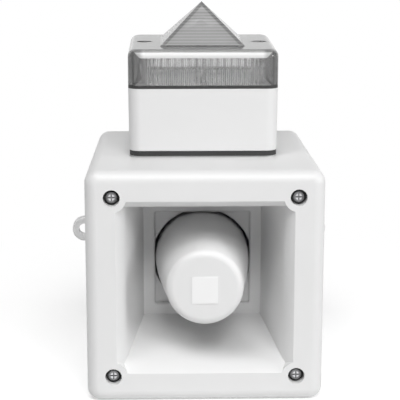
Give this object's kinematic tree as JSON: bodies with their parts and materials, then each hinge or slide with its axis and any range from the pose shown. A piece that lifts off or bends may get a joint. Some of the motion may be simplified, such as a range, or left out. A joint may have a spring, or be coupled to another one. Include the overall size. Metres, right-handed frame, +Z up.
{
  "type": "alarm sounder with beacon",
  "caption": "Square wall-mounted alarm sounder with a re-entrant horn and a flashing beacon with a pyramid lens on top.",
  "frame": {"origin": "centre of the flat back that goes against the wall, level with the horn's axis", "axes": "+Z up, +Y out of the back into the wall, the horn faces -Y"},
  "size_m": [0.206, 0.18, 0.2728],
  "materials": {
    "shell_white": "satin moulded plastic",
    "label_white": "smooth bare label",
    "reflector_white": "pale moulded plate",
    "seal_black": "soft rubber",
    "steel": "stainless",
    "brass": "turned",
    "black_plastic": "moulded",
    "pale_plastic": "moulded",
    "terminal_green": "moulded",
    "board_green": "lacquered board",
    "diaphragm_film": "formed film",
    "copper_wire": "enamelled winding",
    "ferrite": "sintered",
    "core_steel": "stacked sheet",
    "can_dark": "sleeved can",
    "clear_lens": "clear moulded plastic",
    "tube_glass": "clear"
  },
  "bodies": {
    "housing": {"rear_housing": "shell_white", "front_horn": "shell_white", "horn_cup": "shell_white", "horn_bowl": "shell_white", "throat_tube": "shell_white", "beacon_base": "shell_white", "blanking_plug": "shell_white", "plug_locknut": "shell_white", "label_plate": "label_white", "reflector_plate": "reflector_white", "housing_seal": "seal_black", "screw_seals": "seal_black", "plug_seal": "seal_black", "bowl_seal": "seal_black", "driver_gasket": "seal_black", "beacon_gasket": "seal_black", "lens_seal": "seal_black", "front_screws": "steel", "bowl_screws": "steel", "driver_screws": "steel", "cover_screws": "steel", "board_screws": "steel", "terminal_screws": "steel", "beacon_screws": "steel", "beacon_nuts": "steel", "beacon_board_screws": "steel", "lens_screws": "steel", "top_plate": "steel", "back_plate": "steel", "housing_inserts": "brass", "lens_inserts": "brass", "driver_tags": "brass", "driver_cover": "black_plastic", "clamp_ring": "black_plastic", "tone_switch_body": "black_plastic", "volume_body": "black_plastic", "tube_holder": "black_plastic", "inverter_transformer": "black_plastic", "terminal_block": "terminal_green", "beacon_terminals": "terminal_green", "sounder_board": "board_green", "beacon_board": "board_green", "diaphragm": "diaphragm_film", "voice_coil": "copper_wire", "transformer_winding": "copper_wire", "trigger_coil": "copper_wire", "magnet": "ferrite", "transformer_core": "core_steel", "capacitors": "can_dark", "flash_capacitor": "can_dark", "lens": "clear_lens", "xenon_tube": "tube_glass"},
    "tone_slider_1": {"tone_slider_1": "pale_plastic"},
    "tone_slider_2": {"tone_slider_2": "pale_plastic"},
    "tone_slider_3": {"tone_slider_3": "pale_plastic"},
    "tone_slider_4": {"tone_slider_4": "pale_plastic"},
    "tone_slider_5": {"tone_slider_5": "pale_plastic"},
    "volume_rotor": {"volume_rotor": "pale_plastic"}
  },
  "joints": [
    {"name": "tone_slider_1_slide", "type": "slide", "parent": "housing", "child": "tone_slider_1", "axis": [0, 1, 0], "range_m": [0, 0.0018]},
    {"name": "tone_slider_2_slide", "type": "slide", "parent": "housing", "child": "tone_slider_2", "axis": [0, 1, 0], "range_m": [0, 0.0018]},
    {"name": "tone_slider_3_slide", "type": "slide", "parent": "housing", "child": "tone_slider_3", "axis": [0, 1, 0], "range_m": [0, 0.0018]},
    {"name": "tone_slider_4_slide", "type": "slide", "parent": "housing", "child": "tone_slider_4", "axis": [0, 1, 0], "range_m": [0, 0.0018]},
    {"name": "tone_slider_5_slide", "type": "slide", "parent": "housing", "child": "tone_slider_5", "axis": [0, 1, 0], "range_m": [0, 0.0018]},
    {"name": "volume_turn", "type": "hinge", "parent": "housing", "child": "volume_rotor", "pos_m": [0.04, -0.074, -0.064], "axis": [0, 0, 1], "range_deg": [-135, 135]}
  ]
}
